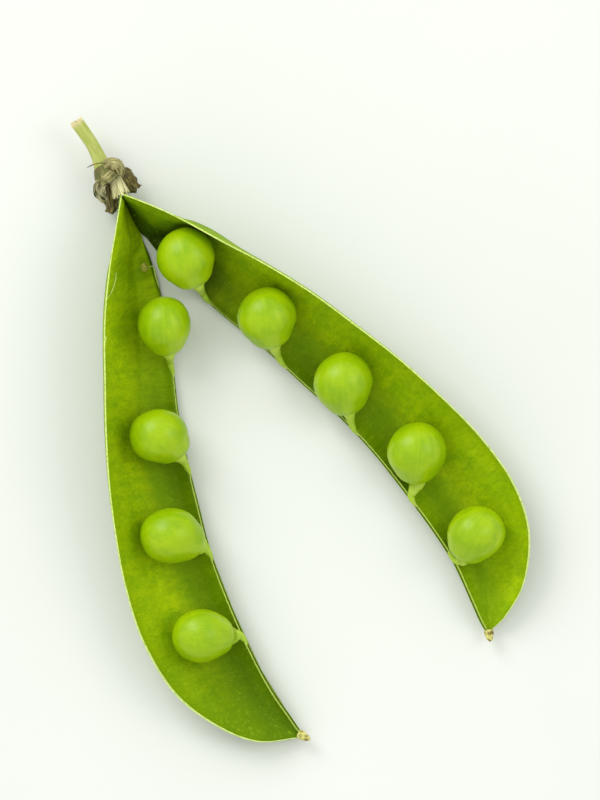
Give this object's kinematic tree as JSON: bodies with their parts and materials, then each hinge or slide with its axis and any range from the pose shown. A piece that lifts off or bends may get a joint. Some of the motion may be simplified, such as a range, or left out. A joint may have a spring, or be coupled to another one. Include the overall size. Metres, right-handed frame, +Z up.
{
  "type": "pea pod",
  "caption": "Opened garden pea pod lying flat: two valves still joined at the stem end, spread apart, with round peas on short stalks along the seams and a dry calyx.",
  "frame": {"origin": "on the table, under the middle of the pod's bounding box", "axes": "+Z up from the table, +Y towards the stem end, +X towards the tip of the right valve"},
  "size_m": [0.0734, 0.0998, 0.0134],
  "materials": {
    "pod_wall": "fresh green pod wall, satin with a parchment sheen inside",
    "pea_skin": "smooth fresh pea skin, soft gloss",
    "funicle": "moist pale green seed stalk",
    "undeveloped_seed": "dull olive, shrivelled",
    "pedicel": "pale yellow-green stalk with a torn cream end",
    "calyx_cup": "dull green, half dry",
    "dry_sepal": "dry, curled, tan to dark brown",
    "dry_stamen": "dry cream fibres",
    "dry_style": "dry tan fibre"
  },
  "bodies": {
    "root": {"valve_left": "pod_wall", "valve_right": "pod_wall", "pea_left_1": "pea_skin", "pea_left_2": "pea_skin", "pea_left_3": "pea_skin", "pea_left_4": "pea_skin", "pea_right_1": "pea_skin", "pea_right_2": "pea_skin", "pea_right_3": "pea_skin", "pea_right_4": "pea_skin", "pea_right_5": "pea_skin", "funicle_left_1": "funicle", "funicle_left_2": "funicle", "funicle_left_3": "funicle", "funicle_left_4": "funicle", "funicle_right_1": "funicle", "funicle_right_2": "funicle", "funicle_right_3": "funicle", "funicle_right_4": "funicle", "funicle_right_5": "funicle", "undeveloped_seed": "undeveloped_seed", "pedicel": "pedicel", "calyx_cup": "calyx_cup", "sepal_1": "dry_sepal", "sepal_2": "dry_sepal", "sepal_3": "dry_sepal", "sepal_4": "dry_sepal", "sepal_5": "dry_sepal", "stamen_sheath": "dry_stamen", "style_left": "dry_style", "style_right": "dry_style"}
  },
  "joints": []
}
